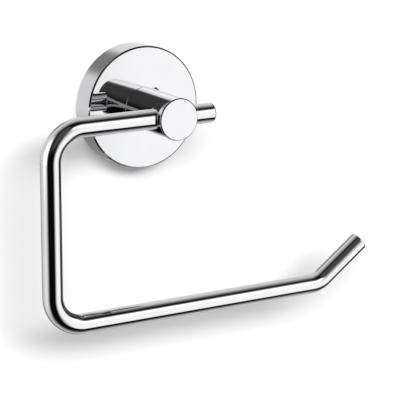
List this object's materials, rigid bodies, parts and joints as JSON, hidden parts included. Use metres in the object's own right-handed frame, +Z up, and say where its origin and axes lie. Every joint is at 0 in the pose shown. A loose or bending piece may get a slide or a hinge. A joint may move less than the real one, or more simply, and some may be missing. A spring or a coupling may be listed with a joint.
{
  "type": "toilet paper holder",
  "caption": "Wall-mounted toilet paper holder: round cover, straight post, and a bent bar that swings in the post and ends in an upturned tip.",
  "frame": {"origin": "middle of the round cover on the wall's face, where the post's axis meets the wall", "axes": "+Y into the wall, -Y out of it along the post, +Z up, +X along the lower bar towards its upturned open end"},
  "size_m": [0.1787, 0.0825, 0.1269],
  "materials": {
    "chrome_cover": "mirror-polished chrome plate",
    "chrome_post": "mirror-polished chrome plate",
    "chrome_bar": "mirror-polished chrome plate",
    "zinc_casting": "as-cast zinc, dull and fine-grained",
    "stainless_steel": "turned stainless steel",
    "zinc_plated_steel": "blue zinc-plated steel",
    "grey_nylon": "moulded nylon"
  },
  "bodies": {
    "holder": {"wall_bracket": "zinc_casting", "wall_screw_upper": "stainless_steel", "wall_screw_lower": "stainless_steel", "wall_plug_upper": "grey_nylon", "wall_plug_lower": "grey_nylon", "rosette": "chrome_cover", "rosette_grub_screw": "stainless_steel", "post": "chrome_post", "post_screw": "zinc_plated_steel", "lock_washer": "zinc_plated_steel", "locating_pin": "zinc_plated_steel", "arm_grub_screw": "stainless_steel"},
    "arm": {"roll_arm": "chrome_bar"}
  },
  "joints": [
    {"name": "arm_swing", "type": "hinge", "parent": "holder", "child": "arm", "pos_m": [0, -0.039, 0], "axis": [-1, 0, 0], "range_deg": [-21.5, 201.5]}
  ]
}
